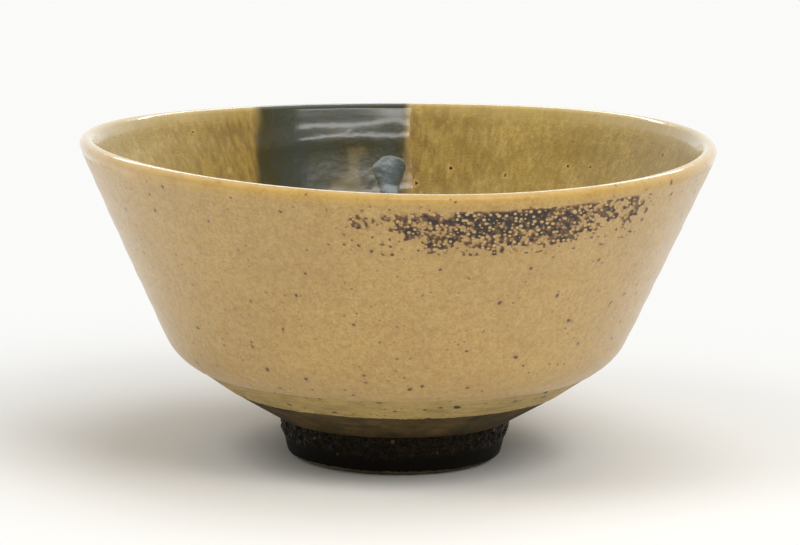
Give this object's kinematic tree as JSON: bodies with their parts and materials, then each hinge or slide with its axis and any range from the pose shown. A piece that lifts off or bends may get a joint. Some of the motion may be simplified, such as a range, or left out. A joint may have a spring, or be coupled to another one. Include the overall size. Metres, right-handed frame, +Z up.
{
  "type": "matcha bowl",
  "caption": "Wide cone-walled tea bowl on a small turned foot ring, with an ochre outside, an olive inside, a blue-green pour and a dark iron splash under the lip.",
  "frame": {"origin": "middle of the face that the foot ring stands on, at table height", "axes": "+Z up along the turning axis; -Y is the front, the side with the iron splash; +X is to the right seen from the front; the pour is inside the back wall (+Y), a little to -X"},
  "size_m": [0.1482, 0.1482, 0.0745],
  "materials": {
    "clay": "bare fired stoneware, matt, fine sand in it",
    "clay_foot": "bare fired stoneware, matt, paler at the worn lower edge",
    "ochre_glaze": "ochre ash glaze, satin gloss, fine mottling, dark iron specks and pits",
    "olive_glaze": "glossy olive-yellow glaze, brown clouds, pinholes",
    "amber_glaze": "amber glaze broken thin over the lip, glossy",
    "khaki_glaze": "thin khaki glaze edge, satin, pitted",
    "iron_wash": "dark brown iron slip, dry, faint turning lines",
    "dark_crust": "black-brown glassy crust, lumpy above, smooth below",
    "blue_green_glaze": "grey-green glaze run, glossy",
    "blue_glaze": "slate-blue drip, glossy",
    "iron_splash": "brown-black iron splash, netted with small burst bubbles"
  },
  "bodies": {
    "root": {"bowl_body": "clay", "foot_ring": "clay_foot", "outer_glaze": "ochre_glaze", "inner_glaze": "olive_glaze", "lip_glaze": "amber_glaze", "glaze_hem": "khaki_glaze", "iron_wash": "iron_wash", "foot_glaze": "dark_crust", "blue_green_pour": "blue_green_glaze", "blue_drip": "blue_glaze", "iron_splash": "iron_splash"}
  },
  "joints": []
}
